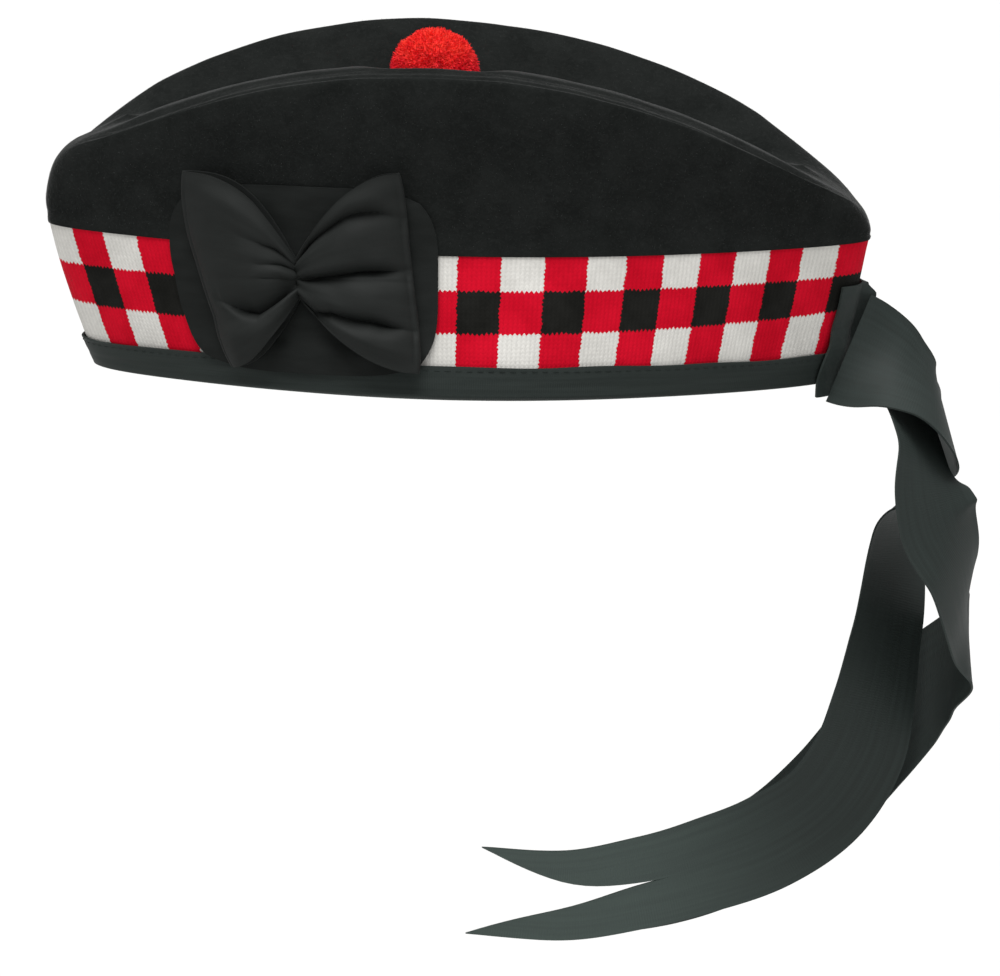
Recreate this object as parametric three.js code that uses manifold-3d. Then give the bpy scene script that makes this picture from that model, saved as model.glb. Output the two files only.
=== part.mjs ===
// A glengarry: a boat-shaped felted wool cap with a lengthwise cleft in the crown, a diced band,
// a bound rim, a gathered bow on its left side, a woollen toorie and two ribbon tails at the back.
// Millimetres. +X points to the back of the cap, -X to its front, -Y to its left side and +Z up.
// The origin is the middle of the rim's opening, where a head holds the cap.
import * as THREE from "three";
import { mergeVertices } from "three/addons/utils/BufferGeometryUtils.js";
import Module from "manifold-3d";

const wasm = await Module();
wasm.setup();

// Cloth
const FELT = 2.5; // wall of the crown and of the band
const RIBBON = 1.0; // wall of the binding, the tab and the tails
const SILK = 1.2; // wall of the bow and of its backing
const GAP = 0.3; // clearance between pieces that are sewn together
const SEAT = 0.5; // how far the bow's backing and the tab stand off the band
const RIBBON_WIDTH = 37;

// Heights and the ridge line
const BINDING_HEIGHT = 9;
const RIDGE = { apexX: -10, apexZ: 104.6, arcRadius: 188 };
const CLEFT_DEPTH = 25.5;
const CLEFT_FADE = 1.6; // how gently the cleft runs out towards the two tips

// The band, from the rim up. A row is one closed line around the cap: how far it reaches to the
// front, to the back and to each side, how full its ends are (1 is an ellipse, less is pointed),
// its height at the two ends and how much higher it runs along the sides.
const BAND_ROWS = [
  { front: 115.5, back: 119.5, side: 66, fullness: 0.62, height: 0, arch: 4.5 },
  { front: 120.5, back: 122, side: 63.2, fullness: 0.62, height: 11, arch: 4 },
  { front: 126, back: 126, side: 58.5, fullness: 0.61, height: 27, arch: 3 },
  { front: 131, back: 129.3, side: 53.5, fullness: 0.6, height: 44.3, arch: 2 },
];

// The crown's wall, from the band to the crest. rise is the share of the way up to the ridge line.
const WALL_ROWS = [
  { front: 132.3, back: 130, side: 51.6, fullness: 0.62, rise: 0.28 },
  { front: 131.6, back: 129.4, side: 50.2, fullness: 0.66, rise: 0.6 },
  { front: 129.8, back: 128, side: 48.6, fullness: 0.7, rise: 0.85 },
  { front: 127.2, back: 126.2, side: 46.4, fullness: 0.74, rise: 0.96 },
];

// The crown's top, from the crest down into the cleft. drop is the share of the cleft's depth.
const TOP_ROWS = [
  { front: 124, back: 123.8, side: 43, fullness: 0.78, drop: 0 },
  { front: 119.5, back: 120, side: 38, fullness: 0.8, drop: 0.08 },
  { front: 113, back: 114, side: 27, fullness: 0.82, drop: 0.44 },
  { front: 108, back: 109, side: 13, fullness: 0.84, drop: 0.87 },
  { front: 105, back: 106, side: 0, fullness: 0.84, drop: 1 },
];

// The bow on the left side. It is pinched at x and up, where its half height is the waist, and spreads
// to half heights top and bottom at its ends. Its front end leans, out at the top and in at the bottom.
// flare and swell shape its outline and its belly, and fullFlare its upper front edge.
const BOW = {
  x: -49.5,
  up: 34.5,
  back: 34.5,
  front: 29.5,
  lean: 6.5,
  waist: 6,
  top: 33,
  bottom: 28,
  flare: 1.9,
  fullFlare: 2.7,
  bulge: 21,
  swell: 0.8,
  roundEnd: 1.6,
};
const BACKING = { shift: 3.5, up: 34.4, halfWidth: 40.5, halfHeight: 29.4, corner: 0.14 };
const SIDE_REACH = 129; // the left wall's reach to the front, at the height of the bow

// Folds that run out from the pinch. side is -1 towards the front and 1 towards the back, at is the
// fold's place between the lower edge (-1) and the upper edge (1).
const BOW_FOLDS = [
  { side: 1, at: 0.54, width: 0.16, depth: 2.2 },
  { side: 1, at: 0.05, width: 0.14, depth: 3.2 },
  { side: 1, at: -0.47, width: 0.16, depth: 2.6 },
  { side: -1, at: 0.3, width: 0.2, depth: 1.2 },
  { side: -1, at: -0.4, width: 0.16, depth: 3 },
];

// The toorie: a ball of wool that rests in the cleft
const TOORIE = { x: -9.5, z: 94.6, head: 12.2, reach: 14.7 };
const LOCKS = { count: 44, sides: 5, rootRadius: 3.7, tipRadius: 2.3 };

// The tab: a ribbon folded round the back tip, with a short fin behind it
const TAB = { low: 1.5, high: 31, turn: Math.PI / 8.5, fin: 5 };

// The tails, from the tab down. turn is the ribbon's twist: 0 faces the left side, 90 is edge on. width is
// the share of the ribbon's full width, less where it is gathered.
const NEAR_TAIL = [
  { x: 123.5, y: -9.2, z: 10.2, turn: 10.5, width: 1 },
  { x: 132.6, y: -11.4, z: 7, turn: 35, width: 0.98 },
  { x: 140.4, y: -13.5, z: 4, turn: 56, width: 0.97 },
  { x: 146.8, y: -13.8, z: 0.2, turn: 67, width: 0.98 },
  { x: 151.3, y: -13, z: -4.4, turn: 77, width: 1 },
  { x: 154.4, y: -9.8, z: -10.4, turn: 88, width: 0.97 },
  { x: 155.8, y: -3.2, z: -16.6, turn: 99, width: 0.88 },
  { x: 154.8, y: 6.2, z: -22.8, turn: 109, width: 0.73 },
  { x: 151, y: 14.8, z: -29.4, turn: 111, width: 0.7 },
  { x: 147.4, y: 20.2, z: -37, turn: 99, width: 0.78 },
  { x: 144.2, y: 22.6, z: -44.5, turn: 79, width: 0.92 },
  { x: 142, y: 22.4, z: -52.5, turn: 68, width: 1 },
  { x: 141.6, y: 20.8, z: -61, turn: 63, width: 1 },
  { x: 142, y: 18.5, z: -70.5, turn: 55, width: 1 },
  { x: 141, y: 14.5, z: -82, turn: 50, width: 1 },
  { x: 139, y: 11, z: -93, turn: 46, width: 1 },
  { x: 136, y: 6, z: -109, turn: 40, width: 1 },
  { x: 131.5, y: 3, z: -126, turn: 30, width: 1 },
  { x: 121, y: 2, z: -143, turn: 22, width: 1 },
  { x: 103, y: 1, z: -156, turn: 18, width: 1 },
  { x: 83, y: 0, z: -164, turn: 20, width: 1 },
  { x: 63, y: -2, z: -170, turn: 26, width: 1 },
  { x: 39, y: -5, z: -174, turn: 32, width: 1 },
  { x: 8, y: -9, z: -173, turn: 36, width: 1 },
];
const FAR_TAIL = [
  { x: 127.9, y: -5.1, z: 9, turn: 12.5, width: 0.4 },
  { x: 132.4, y: -4.4, z: 5.4, turn: 36, width: 0.48 },
  { x: 137.4, y: -6, z: 0, turn: 56, width: 0.58 },
  { x: 141.6, y: -10.8, z: -6.4, turn: 66, width: 0.7 },
  { x: 144.8, y: -17, z: -13, turn: 70, width: 0.8 },
  { x: 147.8, y: -24.6, z: -21, turn: 68, width: 0.88 },
  { x: 150, y: -30.4, z: -30, turn: 56, width: 0.94 },
  { x: 153.2, y: -32.4, z: -41, turn: 47, width: 1 },
  { x: 158, y: -29, z: -52.5, turn: 58, width: 1 },
  { x: 161.4, y: -22, z: -66, turn: 66, width: 1 },
  { x: 163.4, y: -11, z: -78, turn: 77, width: 1 },
  { x: 165.2, y: 1, z: -88.5, turn: 93, width: 1 },
  { x: 160, y: 17, z: -100, turn: 118, width: 1 },
  { x: 150, y: 27, z: -113, turn: 134, width: 1 },
  { x: 137, y: 31, z: -130, turn: 138, width: 1 },
  { x: 123, y: 32, z: -147.5, turn: 135, width: 1 },
  { x: 106, y: 31, z: -162, turn: 128, width: 1 },
  { x: 88, y: 29.4, z: -171.5, turn: 125, width: 1 },
  { x: 70, y: 27.6, z: -177.5, turn: 123, width: 1 },
  { x: 47, y: 25, z: -181.5, turn: 122, width: 1 },
];
const FORK = 62; // depth of the V cut into a tail's end
const FORK_START = 0.55; // share of the tail where its rows start to lean towards the V

const ROUND = 60; // steps around the cap
const MERGE_LIMIT = 1e-4; // vertices nearer than this are one

// Heights

function ridgeHeight(x) {
  return RIDGE.apexZ - (x - RIDGE.apexX) ** 2 / (2 * RIDGE.arcRadius);
}

// One point of a row at the turn angle: 0 is the back tip, PI the front tip, and the left side
// (negative Y) lies between PI and 2 PI.
function planPoint(row, turn) {
  const c = Math.cos(turn);
  const s = Math.sin(turn);
  const x = c * (c < 0 ? row.front : row.back);
  const y = row.side * s * (row.fullness + (1 - row.fullness) * s * s);
  return new THREE.Vector3(x, y, 0);
}

function bandPoint(row, turn) {
  const p = planPoint(row, turn);
  p.z = row.height + row.arch * Math.sin(turn) ** 2;
  return p;
}

function wallPoint(row, turn) {
  const p = planPoint(row, turn);
  const foot = bandPoint(BAND_ROWS.at(-1), turn).z;
  p.z = foot + row.rise * (ridgeHeight(p.x) - foot);
  return p;
}

function topPoint(row, turn) {
  const p = planPoint(row, turn);
  const spread = Math.abs(Math.sin(turn)) ** CLEFT_FADE;
  p.z = ridgeHeight(p.x) - row.drop * CLEFT_DEPTH * spread;
  return p;
}

// The cloth's own section at a turn angle, from the rim over the crest to the middle of the cleft.
const sections = new Map();
function section(turn) {
  if (!sections.has(turn)) {
    const points = [
      ...BAND_ROWS.map((row) => bandPoint(row, turn)),
      ...WALL_ROWS.map((row) => wallPoint(row, turn)),
      ...TOP_ROWS.map((row) => topPoint(row, turn)),
    ];
    sections.set(turn, new THREE.CatmullRomCurve3(points, false, "centripetal"));
  }
  return sections.get(turn);
}
const LAST_ROW = BAND_ROWS.length + WALL_ROWS.length + TOP_ROWS.length - 1;
const BAND_TOP = (BAND_ROWS.length - 1) / LAST_ROW;
const CREST = (BAND_ROWS.length + WALL_ROWS.length - 1) / LAST_ROW;

// A point of the outer cloth and its outward normal. level runs from 0 at the rim to 1 in the cleft.
function cloth(turn, level) {
  const step = 1e-3;
  const at = (t, l) => section(t).getPoint(THREE.MathUtils.clamp(l, 0, 1));
  const low = Math.max(level - step, 0);
  const high = Math.min(level + step, 1);
  const beside = Math.min(level, 0.98);
  const along = at(turn + step, beside).sub(at(turn - step, beside));
  const up = at(turn, high).sub(at(turn, low));
  const normal = along.cross(up).normalize();
  if (level >= 1) normal.setY(0).normalize();
  return { point: at(turn, level), normal };
}

// The same surface in the tailor's terms: how far the point lies up the cloth from the rim.
function sidePoint(turn, height, lift) {
  const curve = section(turn);
  const level = curve.getUtoTmapping(0, Math.max(height, 0));
  const { point, normal } = cloth(turn, level);
  return point.addScaledVector(normal, lift);
}

// Solids from grids

function geometryOf(points, faces) {
  const geometry = new THREE.BufferGeometry();
  geometry.setAttribute("position", new THREE.Float32BufferAttribute(points.flatMap((p) => p.toArray()), 3));
  geometry.setIndex(faces.flat());
  return mergeVertices(geometry, MERGE_LIMIT);
}

function quad(a, b, c, d) {
  return [
    [a, b, c],
    [a, c, d],
  ];
}

// A closed ring: one closed section for each step around the cap.
function ring(sectionAt, steps = ROUND) {
  const points = [];
  const faces = [];
  let size = 0;
  for (let i = 0; i < steps; i++) {
    const loop = sectionAt((2 * Math.PI * i) / steps);
    size = loop.length;
    points.push(...loop);
  }
  for (let i = 0; i < steps; i++) {
    const next = (i + 1) % steps;
    for (let j = 0; j < size; j++) {
      const k = (j + 1) % size;
      faces.push(...quad(i * size + j, next * size + j, next * size + k, i * size + k));
    }
  }
  return geometryOf(points, faces);
}

// A sheet with two faces: front and back are grids of the same size, closed round their edges.
function sheet(front, back) {
  const rows = front.length;
  const columns = front[0].length;
  const points = [...front.flat(), ...back.flat()];
  const at = (r, c) => r * columns + c;
  const under = rows * columns;
  const faces = [];
  for (let r = 0; r < rows - 1; r++) {
    for (let c = 0; c < columns - 1; c++) {
      const corners = [at(r, c), at(r, c + 1), at(r + 1, c + 1), at(r + 1, c)];
      faces.push(...quad(...corners));
      faces.push(...quad(...corners.map((i) => i + under).reverse()));
    }
  }
  const edge = [];
  for (let c = 0; c < columns - 1; c++) edge.push(at(0, c));
  for (let r = 0; r < rows - 1; r++) edge.push(at(r, columns - 1));
  for (let c = columns - 1; c > 0; c--) edge.push(at(rows - 1, c));
  for (let r = rows - 1; r > 0; r--) edge.push(at(r, 0));
  edge.forEach((a, i) => {
    const b = edge[(i + 1) % edge.length];
    faces.push(...quad(b, a, a + under, b + under));
  });
  return geometryOf(points, faces);
}

function span(from, to, steps) {
  return Array.from({ length: steps + 1 }, (_, i) => from + ((to - from) * i) / steps);
}

// Crown: one felted shell, open below, with its cleft

function crownGeometry() {
  const levels = [...span(BAND_TOP, CREST, 5), ...span(CREST, 1, 9).slice(1)];
  const points = [];
  const faces = [];
  const size = levels.length;
  for (let i = 0; i < ROUND; i++) {
    const turn = (2 * Math.PI * i) / ROUND;
    const spots = levels.map((level) => cloth(turn, level));
    const hem = spots[1].point.clone().sub(spots[0].point).setLength(2 * GAP);
    spots[0].point.add(hem);
    points.push(...spots.map((s) => s.point.clone()));
    points.push(...spots.map((s) => s.point.clone().addScaledVector(s.normal, -FELT)));
  }
  const outer = (i, j) => (i % ROUND) * 2 * size + j;
  const inner = (i, j) => outer(i, j) + size;
  for (let i = 0; i < ROUND; i++) {
    for (let j = 0; j < size - 1; j++) {
      faces.push(...quad(outer(i, j), outer(i + 1, j), outer(i + 1, j + 1), outer(i, j + 1)));
      faces.push(...quad(inner(i, j), inner(i, j + 1), inner(i + 1, j + 1), inner(i + 1, j)));
    }
    faces.push(...quad(outer(i + 1, 0), outer(i, 0), inner(i, 0), inner(i + 1, 0)));
  }
  return geometryOf(points, faces);
}

// Diced band: a felted ring below the crown

function bandGeometry() {
  const levels = span(0, BAND_TOP, 4);
  return ring((turn) => {
    const spots = levels.map((level) => cloth(turn, level));
    const outside = spots.map((s) => s.point.clone());
    const inside = spots.map((s) => s.point.clone().addScaledVector(s.normal, -FELT));
    return [...outside, ...inside.reverse()];
  });
}

// Binding: a ribbon folded over the rim, with a leg outside and a leg inside

function bindingGeometry() {
  return ring((turn) => {
    const foot = cloth(turn, 0);
    const down = (offset, depth) =>
      foot.point.clone().addScaledVector(foot.normal, offset).add(new THREE.Vector3(0, 0, -depth));
    const leg = (offset, height) => sidePoint(turn, height, offset);
    const outer = GAP + RIBBON;
    const inner = -(FELT + GAP + RIBBON);
    return [
      down(outer, GAP + RIBBON / 2),
      leg(outer, BINDING_HEIGHT / 2),
      leg(outer, BINDING_HEIGHT),
      leg(GAP, BINDING_HEIGHT),
      down(GAP, GAP),
      down(-(FELT + GAP), GAP),
      leg(-(FELT + GAP), BINDING_HEIGHT),
      leg(inner, BINDING_HEIGHT),
      down(inner, GAP + RIBBON / 2),
      down(inner + RIBBON / 2, GAP + RIBBON),
      down(outer - RIBBON / 2, GAP + RIBBON),
    ];
  });
}

// Bow: a backing patch on the cloth and a gathered loop of the same silk over it

// A point over the left wall: across is measured from the bow's pinch towards the back.
function overWall(across, up, lift) {
  const turn = 2 * Math.PI - Math.acos((BOW.x + across) / SIDE_REACH);
  return sidePoint(turn, up, lift);
}

// How far ribbon over the band stands off the cloth: it steps out over the binding.
function seatLift(up) {
  const over = 1 - THREE.MathUtils.smoothstep(up, 1.2 * BINDING_HEIGHT, 2 * BINDING_HEIGHT);
  return SEAT + over * (RIBBON + GAP);
}

function backingGeometry() {
  const side = (extra) =>
    span(-1, 1, 9).map((v) =>
      span(-1, 1, 9).map((u) => {
        const across = BACKING.shift + BACKING.halfWidth * u * (1 - BACKING.corner * v ** 4);
        const up = BACKING.up + BACKING.halfHeight * v * (1 - BACKING.corner * u ** 4);
        return overWall(across, up, seatLift(up) + extra);
      }),
    );
  return sheet(side(SILK), side(0));
}

// Shares run from the pinch, 0, to the bow's front end, -1, and its back end, 1.
function bowAcross(share, v) {
  return share * (share < 0 ? BOW.front + BOW.lean * v : BOW.back);
}

// Half the bow's height above or below the pinch
function bowHeight(share, v) {
  const full = v > 0 ? BOW.top : BOW.bottom;
  const flare = v > 0 && share < 0 ? BOW.fullFlare : BOW.flare;
  const left = Math.max(1 - Math.abs(share), 0);
  return BOW.waist + (full - BOW.waist) * (1 - left ** flare);
}

// How far the loop's front stands before its back: a belly on each side, with the folds cut into it.
function bowDepth(share, v) {
  const out = Math.min(Math.abs(share), 1);
  const belly = BOW.bulge * (out * (1 - out)) ** BOW.swell * (1 - (v * v) / 4);
  const hold = Math.min(1, 3 * out) * (1 - out / 2);
  let folds = 0;
  for (const fold of BOW_FOLDS) {
    if (fold.side * share > 0) folds += fold.depth * Math.exp(-(((v - fold.at) / fold.width) ** 2));
  }
  return 2 * SILK + belly - folds * hold;
}

// The loop's way round: along its back towards the cap's back, and along its front again.
function bowStations() {
  const end = 1 + BOW.roundEnd / BOW.back;
  const behind = [-1, -0.7, -0.35, 0, 0.35, 0.7, 1];
  const before = [1, 0.8, 0.6, 0.4, 0.2, 0.06, -0.06, -0.2, -0.4, -0.6, -0.8, -1];
  const station = (share, front) => ({ share, front });
  return [
    ...behind.map((share) => station(share, 0)),
    station(end, 0.5),
    ...before.map((share) => station(share, 1)),
    station(-end, 0.5),
  ];
}

function bowGeometry() {
  const stations = bowStations();
  const rows = span(-1, 1, 14);
  const depth = (station, v) => station.front * bowDepth(station.share, v);
  const points = [];
  stations.forEach((station, i) => {
    const last = stations.at(i - 1);
    const next = stations[(i + 1) % stations.length];
    for (const push of [SILK / 2, -SILK / 2]) {
      for (const v of rows) {
        const up = BOW.up + v * bowHeight(station.share, v);
        const run = bowAcross(next.share, v) - bowAcross(last.share, v);
        const rise = depth(next, v) - depth(last, v);
        const way = Math.hypot(run, rise);
        const seat = seatLift(up - BINDING_HEIGHT / 2) + SILK + 2 * GAP + SILK / 2;
        const lift = seat + depth(station, v) - (push * run) / way;
        points.push(overWall(bowAcross(station.share, v) + (push * rise) / way, up, lift));
      }
    }
  });
  const n = rows.length;
  const at = (i, face, r) => (i % stations.length) * 2 * n + face * n + r;
  const faces = [];
  for (let i = 0; i < stations.length; i++) {
    for (let r = 0; r < n - 1; r++) {
      faces.push(...quad(at(i, 0, r), at(i, 0, r + 1), at(i + 1, 0, r + 1), at(i + 1, 0, r)));
      faces.push(...quad(at(i, 1, r), at(i + 1, 1, r), at(i + 1, 1, r + 1), at(i, 1, r + 1)));
    }
    faces.push(...quad(at(i, 0, 0), at(i + 1, 0, 0), at(i + 1, 1, 0), at(i, 1, 0)));
    faces.push(...quad(at(i, 0, n - 1), at(i, 1, n - 1), at(i + 1, 1, n - 1), at(i + 1, 0, n - 1)));
  }
  return geometryOf(points, faces);
}

// Toorie: a head of wool with its locks fused on

function solidOf(geometry) {
  const bare = geometry.clone();
  bare.deleteAttribute("normal");
  bare.deleteAttribute("uv");
  const merged = mergeVertices(bare, MERGE_LIMIT);
  const vertProperties = merged.getAttribute("position").array;
  const triVerts = Uint32Array.from(merged.getIndex().array);
  return new wasm.Manifold(new wasm.Mesh({ numProp: 3, vertProperties, triVerts }));
}

function toorieGeometry() {
  const { head, reach } = TOORIE;
  const length = reach - head / 2;
  const golden = Math.PI * (3 - Math.sqrt(5));
  const upright = new THREE.Vector3(0, 1, 0);
  let ball = solidOf(new THREE.IcosahedronGeometry(head, 1));
  for (let i = 0; i < LOCKS.count; i++) {
    const tilt = Math.acos(1 - (2 * i + 1) / LOCKS.count);
    const way = new THREE.Vector3().setFromSphericalCoords(1, tilt, golden * i);
    const lock = new THREE.CylinderGeometry(LOCKS.tipRadius, LOCKS.rootRadius, length, LOCKS.sides);
    lock.applyQuaternion(new THREE.Quaternion().setFromUnitVectors(upright, way));
    lock.translate(...way.multiplyScalar((reach + head / 2) / 2).toArray());
    ball = ball.add(solidOf(lock));
  }
  const mesh = ball.getMesh();
  const geometry = new THREE.BufferGeometry();
  geometry.setAttribute("position", new THREE.Float32BufferAttribute(mesh.vertProperties, 3));
  geometry.setIndex(Array.from(mesh.triVerts));
  return geometry.translate(TOORIE.x, 0, TOORIE.z);
}

// Tab: round the back tip, from the left side to the right

function tabGeometry() {
  const turns = span(-TAB.turn, TAB.turn, 8);
  const side = (extra) =>
    span(TAB.low, TAB.high, 6).map((up) =>
      turns.map((turn) => {
        const p = sidePoint(turn, up, seatLift(up) + extra);
        if (extra > 0 && turn === 0) p.x += TAB.fin;
        return p;
      }),
    );
  return sheet(side(RIBBON), side(0));
}

// Tails: flat ribbons along their stations, forked at the end

function tailGeometry(stations) {
  const path = new THREE.CatmullRomCurve3(
    stations.map((s) => new THREE.Vector3(s.x, s.y, s.z)),
    false,
    "centripetal",
  );
  const { degToRad, lerp, smoothstep } = THREE.MathUtils;
  const depthWay = new THREE.Vector3(0, 1, 0);
  const length = path.getLength();
  const steps = 34;
  const columns = span(-1, 1, 6);
  const spot = (distance, w, lift) => {
    const t = path.getUtoTmapping(0, Math.min(distance, length));
    const run = t * (stations.length - 1);
    const i = Math.min(Math.floor(run), stations.length - 2);
    const turn = degToRad(lerp(stations[i].turn, stations[i + 1].turn, run - i));
    const half = (RIBBON_WIDTH / 2) * lerp(stations[i].width, stations[i + 1].width, run - i);
    const along = path.getTangent(t);
    const flat = along.clone().cross(depthWay).normalize();
    const deep = flat.clone().cross(along).normalize();
    const wide = flat.multiplyScalar(Math.cos(turn)).addScaledVector(deep, Math.sin(turn));
    const out = along.clone().cross(wide);
    return path.getPoint(t).addScaledVector(wide, w * half).addScaledVector(out, lift);
  };
  const face = (lift) =>
    span(0, 1, steps).map((share) =>
      columns.map((w) => {
        const fork = FORK * (1 - Math.abs(w)) * smoothstep(share, FORK_START, 1);
        return spot(share * length - fork, w, lift);
      }),
    );
  return sheet(face(-RIBBON / 2), face(RIBBON / 2));
}

// Assembly

function material(colour, roughness) {
  return new THREE.MeshStandardMaterial({ color: colour, roughness, metalness: 0 });
}

const FINISHES = {
  black_felt: material(0x202322, 0.95),
  diced_felt: material(0xc20d26, 0.95),
  black_ribbon: material(0x2d3332, 0.7),
  black_silk: material(0x232524, 0.6),
  red_wool: material(0xd8242a, 0.95),
};

function piece(name, geometry, finish) {
  const mesh = new THREE.Mesh(geometry, FINISHES[finish]);
  mesh.name = name;
  return mesh;
}

const glengarry = new THREE.Group();
glengarry.add(
  piece("crown", crownGeometry(), "black_felt"),
  piece("diced_band", bandGeometry(), "diced_felt"),
  piece("binding", bindingGeometry(), "black_ribbon"),
  piece("bow_backing", backingGeometry(), "black_silk"),
  piece("bow", bowGeometry(), "black_silk"),
  piece("toorie", toorieGeometry(), "red_wool"),
  piece("back_tab", tabGeometry(), "black_ribbon"),
  piece("tail_near", tailGeometry(NEAR_TAIL), "black_ribbon"),
  piece("tail_far", tailGeometry(FAR_TAIL), "black_ribbon"),
);

export default glengarry;
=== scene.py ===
"""Looks of a glengarry: a felted cap with a cleft crown, a diced band, a bound rim, a gathered silk bow,
a red woollen toorie and two forked ribbon tails. Lengths are worked out in millimetres in the frame of
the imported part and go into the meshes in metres."""

import math

import bmesh
import bpy
import numpy as np
from mathutils import Matrix, Vector


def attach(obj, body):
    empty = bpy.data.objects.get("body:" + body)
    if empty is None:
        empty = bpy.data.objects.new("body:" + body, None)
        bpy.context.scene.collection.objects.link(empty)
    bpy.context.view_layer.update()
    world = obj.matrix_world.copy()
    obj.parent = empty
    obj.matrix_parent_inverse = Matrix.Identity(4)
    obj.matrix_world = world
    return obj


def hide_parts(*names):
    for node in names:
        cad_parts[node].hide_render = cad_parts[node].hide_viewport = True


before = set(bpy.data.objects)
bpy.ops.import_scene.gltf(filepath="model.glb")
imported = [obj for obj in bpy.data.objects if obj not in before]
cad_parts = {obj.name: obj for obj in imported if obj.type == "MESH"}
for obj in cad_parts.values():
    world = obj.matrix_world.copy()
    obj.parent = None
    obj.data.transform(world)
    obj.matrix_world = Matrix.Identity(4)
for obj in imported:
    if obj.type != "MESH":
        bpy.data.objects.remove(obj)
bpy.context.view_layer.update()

MM = 0.001
# Thickness of the felt, the ribbon and the silk
FELT = 2.5
RIBBON = 1.0
SILK = 1.2
# Room between sewn pieces, and between the cloth and what is laid over it
GAP = 0.3
SEAT = 0.5
# Width of the tails' ribbon, height of the binding on the band and half its width unfolded
RIBBON_WIDTH = 37.0
BINDING_HEIGHT = 9.0
BINDING_HALF = 12.5
TOORIE_X, TOORIE_Z, TOORIE_HEAD = -9.5, 94.6, 12.7

# The cap's cloth: closed lines around the cap from the rim to the cleft.
# Columns: reach to the front, to the back and to each side, fullness, then height and arch.
BAND_ROWS = [
    (115.5, 119.5, 66, 0.62, 0, 4.5),
    (120.5, 122, 63.2, 0.62, 11, 4),
    (126, 126, 58.5, 0.61, 27, 3),
    (131, 129.3, 53.5, 0.6, 44.3, 2),
]
# The last column is the share of the way up to the ridge line.
WALL_ROWS = [
    (132.3, 130, 51.6, 0.62, 0.28),
    (131.6, 129.4, 50.2, 0.66, 0.6),
    (129.8, 128, 48.6, 0.7, 0.85),
    (127.2, 126.2, 46.4, 0.74, 0.96),
]
# The last column is the share of the cleft's depth.
TOP_ROWS = [
    (124, 123.8, 43, 0.78, 0),
    (119.5, 120, 38, 0.8, 0.08),
    (113, 114, 27, 0.82, 0.44),
    (108, 109, 13, 0.84, 0.87),
    (105, 106, 0, 0.84, 1),
]
RIDGE_X, RIDGE_Z, RIDGE_RADIUS = -10.0, 104.6, 188.0
CLEFT_DEPTH, CLEFT_FADE = 25.5, 1.6
LAST_ROW = len(BAND_ROWS) + len(WALL_ROWS) + len(TOP_ROWS) - 1
BAND_TOP = (len(BAND_ROWS) - 1) / LAST_ROW
CREST = (len(BAND_ROWS) + len(WALL_ROWS) - 1) / LAST_ROW


# Curves


def smoothstep(x, low, high):
    t = np.clip((x - low) / (high - low), 0, 1)
    return t * t * (3 - 2 * t)


def between(x, low, full, waning, gone):
    """1 from full to waning, and fading to 0 at low and gone."""
    return smoothstep(x, low, full) * (1 - smoothstep(x, waning, gone))


def spline(knots, place):
    """A centripetal Catmull-Rom line through knots, (count, n, 3), at each of the n places from 0 to 1."""
    count, n = knots.shape[:2]
    run = np.clip(place, 0, 1) * (count - 1)
    i = np.minimum(run.astype(int), count - 2)
    w = (run - i)[:, None]
    row = np.arange(n)
    ends = [2 * knots[:1] - knots[1:2], knots, 2 * knots[-1:] - knots[-2:-1]]
    longer = np.concatenate(ends)
    p0, p1, p2, p3 = (longer[i + j, row] for j in range(4))

    def root_gap(a, b):
        return np.sqrt(np.linalg.norm(b - a, axis=1, keepdims=True))

    d0, d1, d2 = root_gap(p0, p1), root_gap(p1, p2), root_gap(p2, p3)
    d1 = np.where(d1 < 1e-4, 1, d1)
    d0 = np.where(d0 < 1e-4, d1, d0)
    d2 = np.where(d2 < 1e-4, d1, d2)
    t1 = ((p1 - p0) / d0 - (p2 - p0) / (d0 + d1) + (p2 - p1) / d1) * d1
    t2 = ((p2 - p1) / d1 - (p3 - p1) / (d1 + d2) + (p3 - p2) / d2) * d1
    return p1 + t1 * w + (3 * (p2 - p1) - 2 * t1 - t2) * w**2 + (2 * (p1 - p2) + t1 + t2) * w**3


def unit(vectors):
    return vectors / np.maximum(np.linalg.norm(vectors, axis=-1, keepdims=True), 1e-9)


def run_along(points):
    """Lengths along lines of points, (count, ..., 3), from 0 at their first points."""
    steps = np.linalg.norm(np.diff(points, axis=0), axis=-1)
    return np.concatenate([np.zeros((1, *steps.shape[1:])), np.cumsum(steps, axis=0)])


def ripple(a, b, size, seed):
    """Soft unevenness between about -1 and 1, of that wavelength, over two lengths in millimetres."""
    pick = np.random.default_rng(seed)
    total = 0.0
    for _ in range(6):
        way = pick.uniform(0, 2 * np.pi)
        rate = 2 * np.pi / (size * pick.uniform(0.7, 1.5))
        start = pick.uniform(0, 2 * np.pi)
        total = total + np.sin(rate * (np.cos(way) * a + np.sin(way) * b) + start)
    return total / 3.5


# The cap's cloth


def plan(row, turn):
    c, s = np.cos(turn), np.sin(turn)
    x = c * np.where(c < 0, row[0], row[1])
    y = row[2] * s * (row[3] + (1 - row[3]) * s * s)
    return x, y


def ridge_height(x):
    return RIDGE_Z - (x - RIDGE_X) ** 2 / (2 * RIDGE_RADIUS)


def cap_knots(turn):
    lines = []
    for row in BAND_ROWS:
        x, y = plan(row, turn)
        lines.append((x, y, row[4] + row[5] * np.sin(turn) ** 2))
    foot = lines[-1][2]
    for row in WALL_ROWS:
        x, y = plan(row, turn)
        lines.append((x, y, foot + row[4] * (ridge_height(x) - foot)))
    for row in TOP_ROWS:
        x, y = plan(row, turn)
        lines.append((x, y, ridge_height(x) - row[4] * CLEFT_DEPTH * np.abs(np.sin(turn)) ** CLEFT_FADE))
    return np.stack([np.stack(line, -1) for line in lines])


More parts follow.
